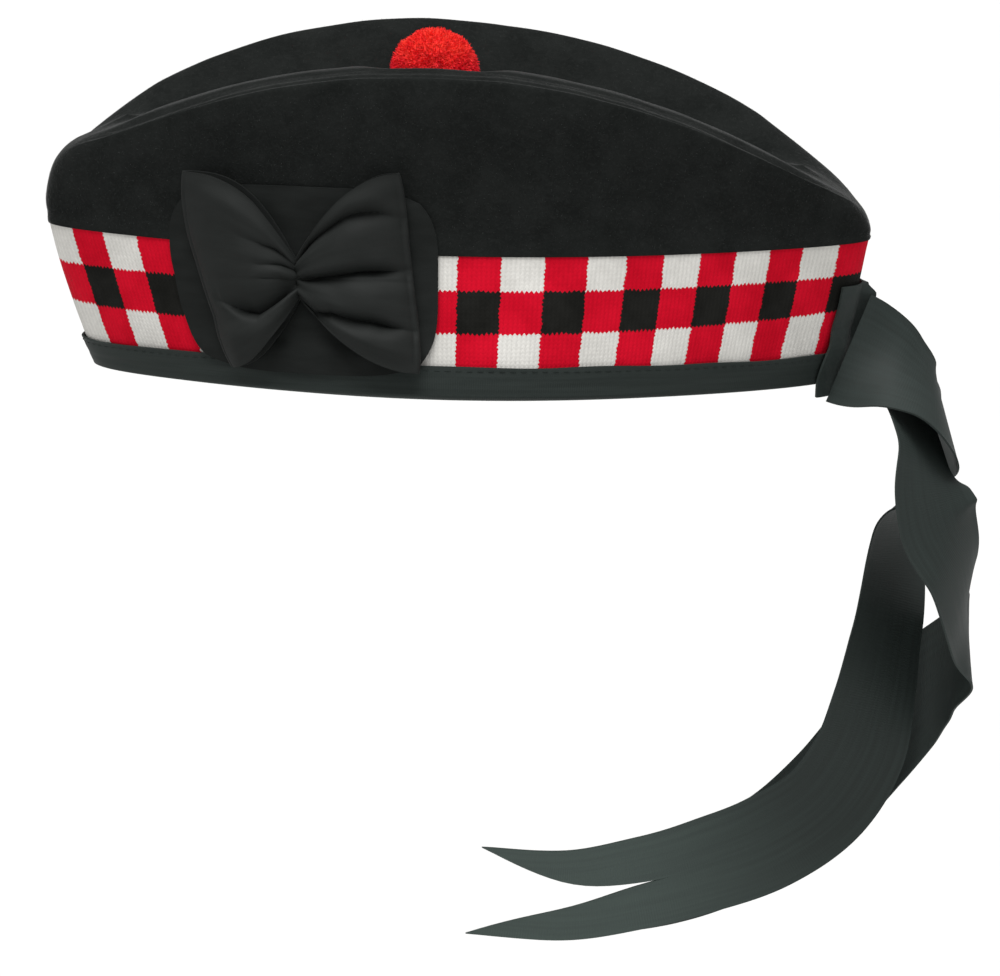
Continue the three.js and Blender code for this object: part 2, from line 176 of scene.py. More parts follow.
def cap_at(turn, level):
    """The outer cloth at turn angles (0 is the back tip, pi the front tip, pi to 2 pi the left side) and
    levels from 0 at the rim to 1 in the cleft."""
    turn, level = np.broadcast_arrays(np.asarray(turn, float), np.asarray(level, float))
    return spline(cap_knots(turn.ravel()), level.ravel()).reshape(*turn.shape, 3)


def cap_out(turn, level):
    """The outward normal of the cloth."""
    turn, level = np.broadcast_arrays(np.asarray(turn, float), np.asarray(level, float))
    step = 1e-3
    beside = np.minimum(level, 0.98)
    along = cap_at(turn + step, beside) - cap_at(turn - step, beside)
    up = cap_at(turn, np.minimum(level + step, 1)) - cap_at(turn, np.maximum(level - step, 0))
    out = np.cross(along, up)
    out[level >= 1, 1] = 0
    return unit(out)


# Turn angles in the table of heights, and the highest millimetre in it
HEIGHT_TURNS, HIGHEST = 720, 100


def height_table():
    """For each turn angle, the level that lies each millimetre up the cloth."""
    turns = np.linspace(0, 2 * np.pi, HEIGHT_TURNS + 1)
    levels = np.linspace(0, 0.75, 301)
    run = run_along(cap_at(turns[None], levels[:, None]))
    heights = np.arange(HIGHEST + 1.0)
    return np.stack([np.interp(heights, column, levels) for column in run.T])


LEVEL_UP = height_table()


def level_at(turn, height):
    """The level that lies height up the cloth from the rim."""
    t = (np.asarray(turn) / (2 * np.pi) % 1) * HEIGHT_TURNS
    h = np.clip(height, 0, HIGHEST - 0.01)
    i, j = t.astype(int), np.asarray(h).astype(int)
    u, v = t - i, h - j
    low = LEVEL_UP[i, j] * (1 - v) + LEVEL_UP[i, j + 1] * v
    high = LEVEL_UP[i + 1, j] * (1 - v) + LEVEL_UP[i + 1, j + 1] * v
    return low * (1 - u) + high * u


def side_at(turn, height, lift):
    """A point that lies height up the cloth from the rim and stands lift off it."""
    turn, height, lift = np.broadcast_arrays(*(np.asarray(a, float) for a in (turn, height, lift)))
    level = level_at(turn, height)
    return cap_at(turn, level) + cap_out(turn, level) * lift[..., None]


def seat_lift(up):
    """How far ribbon over the band stands off the cloth: it steps out over the binding."""
    return SEAT + (1 - smoothstep(up, 1.2 * BINDING_HEIGHT, 2 * BINDING_HEIGHT)) * (RIBBON + GAP)


# Meshes


def grid_normals(grid, looped):
    """Normals of a (rows, columns, 3) grid: rows run up, columns run to the right seen from outside."""
    if looped:
        along = np.roll(grid, -1, axis=1) - np.roll(grid, 1, axis=1)
    else:
        along = np.gradient(grid, axis=1)
    return unit(np.cross(along, np.gradient(grid, axis=0)))


def place_object(name, data):
    made = bpy.data.objects.new(name, data)
    bpy.context.scene.collection.objects.link(made)
    return made


def grid_index(rows, columns, looped):
    """Numbers of a grid's points, with the first column again at the end of a loop."""
    index = np.arange(rows * columns).reshape(rows, columns)
    return np.concatenate([index, index[:, :1]], axis=1) if looped else index


def cells(index):
    """The four corners of each cell of a grid."""
    corners = [index[:-1, :-1], index[:-1, 1:], index[1:, 1:], index[1:, :-1]]
    return np.stack(corners, -1).reshape(-1, 4)


def make_object(name, points, faces, material):
    """An object with its points in metres, from points in millimetres."""
    mesh = bpy.data.meshes.new(name)
    mesh.from_pydata((np.asarray(points) * MM).tolist(), [], [list(f) for f in faces])
    mesh.materials.append(material)
    return place_object(name, mesh)


def close_up(piece, sharp=55):
    """Welds doubled points, drops empty faces and shades the piece smoothly."""
    work = bmesh.new()
    work.from_mesh(piece.data)
    bmesh.ops.remove_doubles(work, verts=work.verts, dist=1e-7)
    bmesh.ops.dissolve_degenerate(work, edges=work.edges, dist=1e-7)
    work.to_mesh(piece.data)
    work.free()
    piece.data.shade_smooth()
    piece.data.set_sharp_from_angle(angle=math.radians(sharp))
    return piece


def two_faced(name, front, back, pattern, material, looped=False, open_rows=(True, True), layer="cloth"):
    """A cloth with two faces, closed round its edges. front and back are (rows, columns, 3) grids, pattern
    gives (rows, columns, 2) places on the cloth, with one column more where the columns close in a loop.
    open_rows says whether the first and the last row are edges."""
    rows, columns = front.shape[:2]
    index = grid_index(rows, columns, looped)
    spot = grid_index(*pattern.shape[:2], False)
    under = rows * columns
    faces = [cells(index), cells(index)[:, ::-1] + under]
    places = [cells(spot), cells(spot)[:, ::-1]]

    def rim(line, marks):
        faces.append(np.stack([line[1:], line[:-1], line[:-1] + under, line[1:] + under], -1))
        places.append(np.stack([marks[1:], marks[:-1], marks[:-1], marks[1:]], -1))

    if open_rows[0]:
        rim(index[0], spot[0])
    if open_rows[1]:
        rim(index[-1, ::-1], spot[-1, ::-1])
    if not looped:
        rim(index[:, -1], spot[:, -1])
        rim(index[::-1, 0], spot[::-1, 0])
    points = np.concatenate([front.reshape(-1, 3), back.reshape(-1, 3)])
    piece = make_object(name, points, np.concatenate(faces), material)
    corners = pattern.reshape(-1, 2)[np.concatenate(places)]
    uv = piece.data.uv_layers.new(name=layer)
    uv.data.foreach_set("uv", corners.astype(np.float32).ravel())
    return close_up(piece)


def finish_piece(piece, slot, *nodes):
    """Puts a piece on the cap's body and in place of the solids named. slot is not used."""
    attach(piece, "root")
    if nodes:
        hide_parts(*nodes)
    return piece


# Materials


def paint(red, green, blue):
    """A colour given as it is seen on a screen, 0 to 255."""
    seen = np.array([red, green, blue]) / 255
    linear = np.where(seen <= 0.04045, seen / 12.92, ((seen + 0.055) / 1.055) ** 2.4)
    return (*linear.tolist(), 1.0)


class Wiring:
    """Adds nodes to one tree. An input that is a socket is linked, and any other value is set."""

    def __init__(self, tree):
        self.tree = tree

    def node(self, kind, inputs=None, **settings):
        made = self.tree.nodes.new(kind)
        for name, value in settings.items():
            setattr(made, name, value)
        for key, value in (inputs or {}).items():
            if isinstance(value, bpy.types.NodeSocket):
                self.tree.links.new(value, made.inputs[key])
            else:
                made.inputs[key].default_value = value
        return made

    def math(self, operation, *values, clamp=False):
        inputs = dict(enumerate(values))
        return self.node("ShaderNodeMath", inputs, operation=operation, use_clamp=clamp).outputs[0]

    def blend(self, share, a, b):
        return self.node("ShaderNodeMix", {0: share, 6: a, 7: b}, data_type="RGBA").outputs[2]

    def noise(self, place, scale, detail=3.0, roughness=0.6):
        inputs = {"Vector": place, "Scale": scale, "Detail": detail, "Roughness": roughness}
        return self.node("ShaderNodeTexNoise", inputs).outputs["Fac"]

    def stretch(self, place, scale):
        return self.node("ShaderNodeMapping", {"Vector": place, "Scale": scale}).outputs[0]

    def wave(self, value, length):
        return self.math("SINE", self.math("MULTIPLY", value, 2 * math.pi / length))

    def ramp(self, value, low, high):
        inputs = {"Value": value, "From Min": low, "From Max": high}
        return self.node("ShaderNodeMapRange", inputs, interpolation_type="SMOOTHSTEP").outputs[0]


def shader_group(name, inputs, outputs):
    """A node group with those sockets. Returns its wiring, its input node and its output node."""
    tree = bpy.data.node_groups.new(name, "ShaderNodeTree")
    for label, kind in inputs:
        tree.interface.new_socket(name=label, in_out="INPUT", socket_type=kind)
    for label, kind in outputs:
        tree.interface.new_socket(name=label, in_out="OUTPUT", socket_type=kind)
    wiring = Wiring(tree)
    return wiring, wiring.node("NodeGroupInput").outputs, wiring.node("NodeGroupOutput").inputs


def join(wiring, value, socket):
    wiring.tree.links.new(value, socket)


VECTOR, VALUE = "NodeSocketVector", "NodeSocketFloat"


def wool_group():
    """Felted wool: a cloudy tone and the height of its matted hairs. Place is in metres."""
    clouds, bends, hairs = 90.0, 420.0, 1500.0
    w, given, out = shader_group(
        "felted_wool", [("Place", VECTOR)], [("Cloud", VALUE), ("Hair", VALUE), ("Height", VALUE)]
    )
    place = given["Place"]
    cloud = w.noise(place, clouds, 4.0, 0.55)
    warp = w.node("ShaderNodeTexNoise", {"Vector": place, "Scale": bends, "Detail": 2.0}).outputs["Color"]
    bent = w.node("ShaderNodeVectorMath", {0: warp, "Scale": 0.0035}, operation="SCALE").outputs[0]
    moved = w.node("ShaderNodeVectorMath", {0: place, 1: bent}, operation="ADD").outputs[0]
    across = w.noise(w.stretch(moved, (1.0, 0.22, 1.0)), hairs, 3.0, 0.65)
    along = w.noise(w.stretch(moved, (0.22, 1.0, 0.5)), hairs, 3.0, 0.65)
    hair = w.math("MAXIMUM", across, along)
    join(w, w.ramp(cloud, 0.32, 0.68), out["Cloud"])
    join(w, w.ramp(hair, 0.45, 0.75), out["Hair"])
    join(w, w.math("ADD", hair, w.math("MULTIPLY", cloud, 0.5)), out["Height"])
    return w.tree


def rib_group():
    """Ribbed ribbon: crosswise ribs, long faint streaks and a raised edge. Place is in millimetres, with X
    across the ribbon and Y along it."""
    thread_pitch = 0.42
    w, given, out = shader_group(
        "ribbed_ribbon",
        [("Place", VECTOR), ("Pitch", VALUE), ("Half Width", VALUE)],
        [("Height", VALUE), ("Streak", VALUE), ("Edge", VALUE)],
    )
    split = w.node("ShaderNodeSeparateXYZ", {0: given["Place"]}).outputs
    turns = w.math("DIVIDE", w.math("MULTIPLY", split[1], 2 * math.pi), given["Pitch"])
    rib = w.math("MULTIPLY_ADD", w.math("SINE", turns), 0.5, 0.5)
    thread = w.math("MULTIPLY_ADD", w.wave(split[0], thread_pitch), 0.5, 0.5)
    uneven = w.noise(w.stretch(given["Place"], (1.6, 0.9, 1.0)), 1.0, 3.0, 0.6)
    streak = w.noise(w.stretch(given["Place"], (0.55, 0.018, 1.0)), 1.0, 4.0, 0.6)
    edge = w.ramp(w.math("SUBTRACT", given["Half Width"], w.math("ABSOLUTE", split[0])), 1.3, 0.5)
    woven = w.math("ADD", rib, w.math("MULTIPLY", thread, 0.25))
    raised = w.math("MULTIPLY_ADD", uneven, 0.5, w.math("MULTIPLY", edge, 0.8))
    join(w, w.math("ADD", woven, raised), out["Height"])
    join(w, w.ramp(streak, 0.3, 0.7), out["Streak"])
    join(w, edge, out["Edge"])
    return w.tree


def dice_group():
    """Dicing knitted three rows high. Place counts dice along X and rows along Y. White and Black are masks
    over red, and Height is the relief of the stitches."""
    stitches, courses = 9.0, 10.0
    w, given, out = shader_group(
        "knitted_dice",
        [("Place", VECTOR)],
        [("White", VALUE), ("Black", VALUE), ("Height", VALUE), ("Wale", VALUE)],
    )
    place = given["Place"]
    split = w.node("ShaderNodeSeparateXYZ", {0: place}).outputs

    def zigzag(value, count):
        part = w.math("FRACT", w.math("MULTIPLY", value, count))
        return w.math("MULTIPLY", w.math("ABSOLUTE", w.math("SUBTRACT", part, 0.5)), 2.0)

    wale = zigzag(split[0], stitches)
    course = zigzag(split[1], courses)
    fray = w.math("SUBTRACT", w.noise(place, 26.0, 3.0, 0.7), 0.5)
    slip = w.math("SUBTRACT", w.noise(place, 3.0, 1.0), 0.5)

    def wavering(value, tooth, depth):
        bend = w.math("MULTIPLY_ADD", fray, 0.07, w.math("MULTIPLY", slip, 0.1))
        step = w.math("MULTIPLY", w.math("SUBTRACT", tooth, 0.5), depth)
        return w.math("ADD", w.math("ADD", value, bend), step)

    column = w.math("FLOOR", wavering(split[0], course, 0.03))
    height = w.node("ShaderNodeClamp", {0: wavering(split[1], wale, 0.06), 1: 0.01, 2: 2.99}).outputs[0]
    odd = w.math("FLOORED_MODULO", column, 2.0)
    middle = w.math("COMPARE", w.math("FLOOR", height), 1.0, 0.1)
    join(w, w.math("MULTIPLY", odd, w.math("SUBTRACT", 1.0, middle)), out["White"])
    join(w, w.math("MULTIPLY", w.math("SUBTRACT", 1.0, odd), middle), out["Black"])
    slant = w.math("MULTIPLY_ADD", split[1], courses, w.math("MULTIPLY", wale, 0.6))
    loop = w.math("MULTIPLY_ADD", w.math("SINE", w.math("MULTIPLY", slant, 2 * math.pi)), 0.5, 0.5)
    relief = w.math("MULTIPLY", w.math("POWER", w.math("SUBTRACT", 1.0, wale), 0.6), 0.8)
    join(w, w.math("MULTIPLY_ADD", loop, 0.35, relief), out["Height"])
    join(w, wale, out["Wale"])
    return w.tree


def silk_group():
    """Plain silk: fine crossing threads and soft watered bands. Place is in millimetres."""
    warp_pitch, weft_pitch = 0.5, 0.6
    w, given, out = shader_group("plain_silk", [("Place", VECTOR)], [("Height", VALUE), ("Bands", VALUE)])
    split = w.node("ShaderNodeSeparateXYZ", {0: given["Place"]}).outputs
    warp = w.wave(split[0], warp_pitch)
    weft = w.wave(split[1], weft_pitch)
    slub = w.noise(w.stretch(given["Place"], (0.25, 2.2, 1.0)), 1.0, 3.0, 0.6)
    bands = w.noise(w.stretch(given["Place"], (0.05, 0.22, 1.0)), 1.0, 3.0, 0.55)
    join(w, w.math("MULTIPLY_ADD", w.math("MULTIPLY", warp, weft), 0.4, slub), out["Height"])
    join(w, w.ramp(bands, 0.3, 0.7), out["Bands"])
    return w.tree


GROUPS = {make.__name__: make() for make in (wool_group, rib_group, dice_group, silk_group)}


def start_material(name):
    material = bpy.data.materials.new(name)
    material.use_nodes = True
    wiring = Wiring(material.node_tree)
    return material, wiring, material.node_tree.nodes["Principled BSDF"]


def use_group(wiring, tree, **inputs):
    named = {label.replace("_", " "): value for label, value in inputs.items()}
    return wiring.node("ShaderNodeGroup", named, node_tree=tree).outputs


def dress(wiring, shader, colour, roughness, height, bump, depth, gloss=0.3, sheen=0.0):
    """Sets a surface's colour, roughness, relief with its depth in metres, gloss and sheen of hairs."""
    normal = wiring.node("ShaderNodeBump", {"Height": height, "Strength": bump, "Distance": depth})
    wiring.tree.links.new(colour, shader.inputs["Base Color"])
    wiring.tree.links.new(roughness, shader.inputs["Roughness"])
    wiring.tree.links.new(normal.outputs[0], shader.inputs["Normal"])
    shader.inputs["Sheen Weight"].default_value = sheen
    shader.inputs["Sheen Roughness"].default_value = 0.22
    shader.inputs["Specular IOR Level"].default_value = gloss


def black_wool(name, dark, light, hair, sheen=0.16):
    """Cloudy wool between a dark and a light tone, with paler hairs."""
    material, w, shader = start_material(name)
    place = w.node("ShaderNodeTexCoord").outputs["Object"]
    wool = use_group(w, GROUPS["wool_group"], Place=place)
    ground = w.blend(wool["Cloud"], dark, light)
    colour = w.blend(w.math("MULTIPLY", wool["Hair"], 0.4), ground, hair)
    rough = w.math("MULTIPLY_ADD", wool["Hair"], -0.1, 0.97)
    dress(w, shader, colour, rough, wool["Height"], bump=0.5, depth=0.0004, gloss=0.06, sheen=sheen)
    return material


def diced_felt():
    """The band's felt, knitted in red, white and black dice."""
    material, w, shader = start_material("diced_felt")
    dice_place = w.node("ShaderNodeUVMap", uv_map="dice").outputs[0]
    dice = use_group(w, GROUPS["dice_group"], Place=dice_place)
    wool = use_group(w, GROUPS["wool_group"], Place=w.node("ShaderNodeTexCoord").outputs["Object"])
    red = w.blend(wool["Cloud"], paint(182, 8, 32), paint(198, 12, 38))
    white = w.blend(wool["Cloud"], paint(199, 197, 192), paint(210, 208, 203))
    black = w.blend(wool["Cloud"], paint(22, 22, 20), paint(30, 30, 28))
    woven = w.blend(dice["Black"], w.blend(dice["White"], red, white), black)
    # Painted shade darkens the grooves between the knitted stitches; the hairs add paler random flecks.
    groove_shade_and_hairs = w.math("MULTIPLY_ADD", dice["Wale"], -0.09, w.math("MULTIPLY_ADD", wool["Hair"], 0.1, 0.98))
    colour = w.node("ShaderNodeVectorMath", {0: woven, "Scale": groove_shade_and_hairs}, operation="SCALE").outputs[0]
    height = w.math("MULTIPLY_ADD", wool["Height"], 0.5, dice["Height"])
    rough = w.math("MULTIPLY_ADD", wool["Cloud"], -0.08, 0.97)
    dress(w, shader, colour, rough, height, bump=0.4, depth=0.0003, gloss=0.06, sheen=0.03)
    return material


def black_ribbon(name, half_width, dark, light, pitch=0.8, lit_end=None):
    """Streaked ribbon with ribs of that pitch. Painted light can make it paler towards its end, where it
    turns up to the light: from and to, in millimetres along it."""
    material, w, shader = start_material(name)
    place = w.node("ShaderNodeUVMap", uv_map="cloth").outputs[0]
    rib = use_group(w, GROUPS["rib_group"], Place=place, Pitch=pitch, Half_Width=half_width)
    colour = w.blend(w.math("MULTIPLY_ADD", rib["Edge"], 0.3, rib["Streak"]), dark, light)
    if lit_end:
        # Painted light: paler towards the end, standing in for light from above on the upturned end.
        along = w.node("ShaderNodeSeparateXYZ", {0: place}).outputs[1]
        painted_light = w.blend(rib["Streak"], paint(65, 75, 72), paint(71, 82, 78))
        colour = w.blend(w.ramp(along, *lit_end), colour, painted_light)
    rough = w.math("MULTIPLY_ADD", rib["Streak"], 0.08, 0.6)
    dress(w, shader, colour, rough, rib["Height"], bump=0.2, depth=0.00015, gloss=0.16, sheen=0.02)
    return material


def black_silk(name, dark, light, gloss):
    """Dull silk in soft bands between a dark and a light tone."""
    material, w, shader = start_material(name)
    place = w.node("ShaderNodeUVMap", uv_map="cloth").outputs[0]
    silk = use_group(w, GROUPS["silk_group"], Place=place)
    colour = w.blend(silk["Bands"], dark, light)
    rough = w.math("MULTIPLY_ADD", silk["Bands"], 0.1, 0.6)
    dress(w, shader, colour, rough, silk["Height"], bump=0.25, depth=0.00015, gloss=gloss, sheen=0.02)
    return material


def red_wool():
    """The toorie's wool: deep crimson below and lighter towards its top, as painted light from above."""
    material, w, shader = start_material("red_wool")
    place = w.node("ShaderNodeTexCoord").outputs["Object"]
    wool = use_group(w, GROUPS["wool_group"], Place=place)
    tuft = w.ramp(w.noise(place, 320.0, 2.0), 0.35, 0.65)
    height = w.node("ShaderNodeSeparateXYZ", {0: place}).outputs[2]
    # Painted light from above: the wool is drawn lighter towards the toorie's top.
    upper = w.ramp(height, (TOORIE_Z - 1) * MM, (TOORIE_Z + 10) * MM)
    deep = w.blend(tuft, paint(236, 14, 50), paint(248, 34, 58))
    ground = w.blend(upper, deep, w.blend(tuft, paint(238, 40, 44), paint(250, 68, 54)))
    colour = w.blend(w.math("MULTIPLY", wool["Hair"], 0.3), ground, paint(252, 96, 90))
    rough = w.math("MULTIPLY_ADD", tuft, -0.08, 0.96)
    dress(w, shader, colour, rough, wool["Height"], bump=0.5, depth=0.0006, gloss=0.1, sheen=0.12)
    return material


FELT_LOOK = black_wool("black_felt", paint(20, 22, 21), paint(26, 28, 27), paint(38, 40, 39), sheen=0.32)
# Painted sheen: the nap's hairs are much paler than the felt, so crests and outlines light up where they are
# seen edge-on.
NAP_SHEEN_LOOK = black_wool("hair_sheen", paint(64, 67, 65), paint(76, 79, 77), paint(94, 97, 95))
THREAD_LOOK = black_wool("black_thread", paint(32, 37, 35), paint(38, 43, 41), paint(44, 50, 48))
DICED_LOOK = diced_felt()
BINDING_LOOK = black_ribbon("binding_ribbon", BINDING_HALF, paint(30, 36, 34), paint(38, 44, 42), pitch=0.7)
TAIL_TONES = paint(37, 43, 41), paint(43, 50, 48)
TAIL_LOOK = black_ribbon("tail_ribbon", RIBBON_WIDTH / 2, *TAIL_TONES)
# The near tail's ribbon, with painted light making it paler towards its end.
LIT_END_LOOK = black_ribbon("ribbon_painted_lit_end", RIBBON_WIDTH / 2, *TAIL_TONES, lit_end=(195, 275))
SILK_LOOK = black_silk("bow_silk", paint(28, 30, 29), paint(33, 35, 34), gloss=0.1)
BACKING_LOOK = black_silk("backing_silk", paint(25, 27, 26), paint(30, 32, 31), gloss=0.06)
WOOL_LOOK = red_wool()


# Crown and band

CROWN_COLUMNS, WALL_STEPS, TOP_STEPS = 320, 34, 36
# Millimetres of cloth to a whole level, below the crest and above it
WALL_LENGTH, TOP_LENGTH = 82, 57
# The left ridge: how far its edge sinks, and how far the cloth rises to the flat shelf behind it
EDGE_DROP, SHELF_RISE = 2.6, 8.8
# The hollow in that edge for the toorie
NEST_DEPTH, NEST_REACH = 1.0, 17.0
# The soft fold along both ridges
FOLD_HEIGHT, FOLD_REACH = 0.9, 3.2
# How many times the cloth is eased where the cleft runs out
TIP_EASING = 150
# The lip at the hem: how far it hangs over the band, how far it stands off it and how thick it is
LIP_DROP, LIP_STAND, LIP_THICKNESS = 0.15, 0.4, 0.26
# How the right ridge's height departs from an even curve: places along the cap, then lift.
RIGHT_RIDGE = [
    (-130, -2.6), (-121, -2.2), (-114, -1), (-98, 1), (-82, 1.6), (-50, 0.6), (-25, 0), (13, -0.8), (38, 0.3),
    (62, 1.6), (78, 2.3), (94, 3), (110, 1.3), (126, 0),
]


def no_pattern(rows, columns):
    return np.zeros((rows, columns + 1, 2))


def felt_lift(points, turns, levels):
    """How far the felt stands off an even cloth: it is softly uneven, with a lip at the hem and a fold along
    the ridges, and it stays close at the cleft's seam."""
    x, y, z = np.moveaxis(points, -1, 0)
    hem = smoothstep(levels, BAND_TOP, BAND_TOP + 0.05)
    uneven = 0.25 * ripple(x, z + y, 52, 3) + 0.1 * ripple(x, z - y, 17, 4) - 0.1
    off = (levels - CREST) * np.where(levels < CREST, WALL_LENGTH, TOP_LENGTH)
    fold = FOLD_HEIGHT * np.exp(-(np.hypot(off, 0.5) - 0.5) / FOLD_REACH)
    fold = fold * smoothstep(np.abs(np.sin(turns)), 0.1, 0.4)
    seam = smoothstep(levels, 0.8, 0.9) * (1 - smoothstep(np.abs(y), 0, 2.5))
    return (hem * uneven + (1 - hem) * LIP_STAND + fold) * (1 - seam)


def left_shelf(x, turns, levels):
    """How far the cloth is raised behind the left ridge and lowered along its edge."""
    left = smoothstep(-np.sin(turns), 0.2, 0.6)
    nest = np.exp(-(((x - TOORIE_X) / NEST_REACH) ** 4))
    edge = between(levels, 0.53, 0.63, 0.67, 0.77)
    shelf = between(levels, 0.73, 0.85, 0.86, 0.98)
    rise = SHELF_RISE * shelf * (1 - nest) * np.abs(np.sin(turns)) ** CLEFT_FADE
    return left * (rise - (EDGE_DROP + NEST_DEPTH * nest) * edge)


def right_ridge(x, turns, levels):
    """How far the right ridge is raised or lowered along the cap."""
    right = smoothstep(np.sin(turns), 0.05, 0.25)
    top = between(levels, 0.4, CREST, 0.78, 0.95)
    return right * top * np.interp(x, *np.array(RIGHT_RIDGE, float).T)


def crown_cloth():
    """The crown's outer cloth and its normals, from the hem over the crests into the cleft."""
    turns = np.linspace(0, 2 * np.pi, CROWN_COLUMNS, endpoint=False)[None]
    wall, top = np.linspace(BAND_TOP, CREST, WALL_STEPS), np.linspace(CREST, 1, TOP_STEPS)
    levels = np.concatenate([wall, top[1:]])[:, None]
    points, out = cap_at(turns, levels), cap_out(turns, levels)
    points[0] += unit(points[1] - points[0]) * 2 * GAP
    lift = felt_lift(points, turns, levels)
    x = points[..., 0]
    points[..., 2] += left_shelf(x, turns, levels) + right_ridge(x, turns, levels)
    return eased_tips(points + out * lift[..., None], out, turns, levels)


def eased_tips(cloth, out, turns, levels):
    """Eases the cloth where the cleft runs out at its two ends, and turns its normals upright there."""
    near = smoothstep(levels, 0.7, 0.82) * (1 - smoothstep(np.abs(np.sin(turns)), 0.2, 0.5))
    near = near[..., None]
    opposite = -np.arange(cloth.shape[1])
    for _ in range(TIP_EASING):
        longer = np.concatenate([cloth[:1], cloth, cloth[-2:-1, opposite]])
        beside = np.roll(cloth, 1, axis=1) + np.roll(cloth, -1, axis=1)
        around = (beside + longer[2:] + longer[:-2]) / 4
        cloth = cloth + 0.5 * near * (around - cloth)
    upright = np.array([0, 0, 1.0])
    return cloth, unit(out * (1 - near) + upright * near)


def make_crown():
    """The crown's felt, with a thin lip at its hem that covers the band's upper edge."""
    outer, out = crown_cloth()
    turns = np.linspace(0, 2 * np.pi, outer.shape[1], endpoint=False)
    foot, away = cap_at(turns, BAND_TOP), cap_out(turns, BAND_TOP)
    up = unit(cap_at(turns, BAND_TOP + 0.01) - foot)
    lip = np.stack([foot - up * LIP_DROP, foot + up * GAP]) + away * LIP_STAND
    front = np.concatenate([lip, outer])
    back = np.concatenate([lip - away * LIP_THICKNESS, outer - out * FELT])
    piece = two_faced("crown", front, back, no_pattern(*front.shape[:2]), FELT_LOOK, True, (True, False))
    return finish_piece(piece, "black_felt", "crown")


# Where the dicing's upright lines fall along the left side: millimetres from the front tip, count of dice.
DICE_LINES = [(0, -11), (15.9, -10), (53.5, -7), (143.4, 0), (183.1, 3), (255.8, 9), (270.3, 10), (288.9, 11)]
DICE_ON_A_SIDE, DICE_LEAN, TOP_OF_DICE = 22, 0.25, 44.0
# Heights of the two lines between the rows of dice, and how much they rise towards the tips
LOW_LINE, LOW_FRONT_RISE, LOW_BACK_RISE = 19.3, 1.4, 2.6
HIGH_LINE, HIGH_RISE = 32.7, 1.2


def dice_count(turn, height):
    """Dice counted round the band from the front tip, along the left side and back along the right. Near the
    front the lines between them lean."""
    fine = np.linspace(np.pi, 2 * np.pi, 1441)
    run = run_along(cap_at(fine, 0.14))
    place, count = np.array(DICE_LINES, float).T
    left = np.where(turn <= 2 * np.pi, turn, 4 * np.pi - turn)
    along = np.interp(left, fine, run)
    lean = DICE_LEAN * between(along, 0, 14, 60, 90)
    found = np.interp(along, place, count) - lean * (1 - height / TOP_OF_DICE)
    return np.where(turn <= 2 * np.pi, found, DICE_ON_A_SIDE - found)


def make_band():
    """The band's felt, with its dice counted along and up it."""
    columns = 16 * DICE_ON_A_SIDE
    turns = np.pi + np.linspace(0, 2 * np.pi, columns + 1)
    levels = np.linspace(0, BAND_TOP, 22)[:, None]
    points, out = cap_at(turns[None], levels), cap_out(turns[None], levels)
    height = run_along(points)
    x, y, z = np.moveaxis(points, -1, 0)
    bend = (x / 100) ** 2
    low = LOW_LINE + np.where(x < 0, LOW_FRONT_RISE, LOW_BACK_RISE) * bend
    high = HIGH_LINE + HIGH_RISE * bend
    pattern = np.stack([dice_count(turns[None], height), 1 + (height - low) / (high - low)], -1)
    inner_part = smoothstep(height, 4, 14) * (1 - smoothstep(levels, 0.2, BAND_TOP))
    lift = 0.22 * ripple(x, z + y, 38, 8) * inner_part
    outer = (points + out * lift[..., None])[:, :-1]
    inner = outer - out[:, :-1] * FELT
    piece = two_faced("diced_band", outer, inner, pattern, DICED_LOOK, True, layer="dice")
    return finish_piece(piece, "diced_felt", "diced_band")


def make_binding():
    """The ribbon folded over the rim: up the inside, round the edge and up the outside."""
    turns = np.linspace(0, 2 * np.pi, 421)
    foot, out = cap_at(turns, 0.0), cap_out(turns, 0.0)
    run = run_along(foot)
    edge = BINDING_HEIGHT + 0.35 * ripple(run, 0 * run, 46, 11)
    inside = [(share, None, -1) for share in np.linspace(1, 0.03, 9)]
    fold = [(0.0, angle, 0) for angle in np.linspace(np.pi, 0, 9)]
    outside = [(share, None, 1) for share in np.linspace(0.03, 1, 16)]
    strip = inside + fold + outside

    def face(cover):
        """The ribbon's face that lies cover away from the felt's gap."""
        rows = []
        for share, angle, side in strip:
            if angle is not None:
                reach = FELT / 2 + GAP + cover
                across, down = -FELT / 2 + reach * np.cos(angle), 0.5 * reach * np.sin(angle)
                rows.append(foot + out * across - np.array([0, 0, down]))
                continue
            height = share * edge
            crease = 0.1 * ripple(run, 9 * height, 34, 12) * min(1, 4 * share * (1.02 - share))
            offset = GAP + cover + crease if side > 0 else -(FELT + GAP + cover)
            rows.append(side_at(turns, height, offset))
        return np.stack(rows)

    across = np.linspace(-BINDING_HALF, BINDING_HALF, len(strip))
    pattern = np.stack(np.broadcast_arrays(across[:, None], run[None]), -1)
    piece = two_faced("binding", face(RIBBON)[:, :-1], face(0.2)[:, :-1], pattern, BINDING_LOOK, True)
    return finish_piece(piece, "black_ribbon", "binding")


# Bow

# The pinch: its place along the cap and its height up the cloth
BOW_X, BOW_UP = -49.5, 34.5
# Reach from the pinch to the back and to the front, and how far the two ends lean
BOW_BACK, BOW_FRONT, BOW_LEAN, BOW_BACK_LEAN = 33.6, 29.0, 4.8, -3.0
# Half heights at the pinch, above it and below it, what the back gains above, and how fast the loops flare
BOW_WAIST, BOW_TOP, BOW_BOTTOM, BOW_BACK_RISE = 6.0, 33.0, 28.0, 1.8
BOW_FLARE, BOW_FULL_FLARE = 1.9, 2.7
# Belly of the loops and roundness of their ends
BOW_BULGE, BOW_SWELL, BOW_ROUND = 20.0, 0.8, 1.6
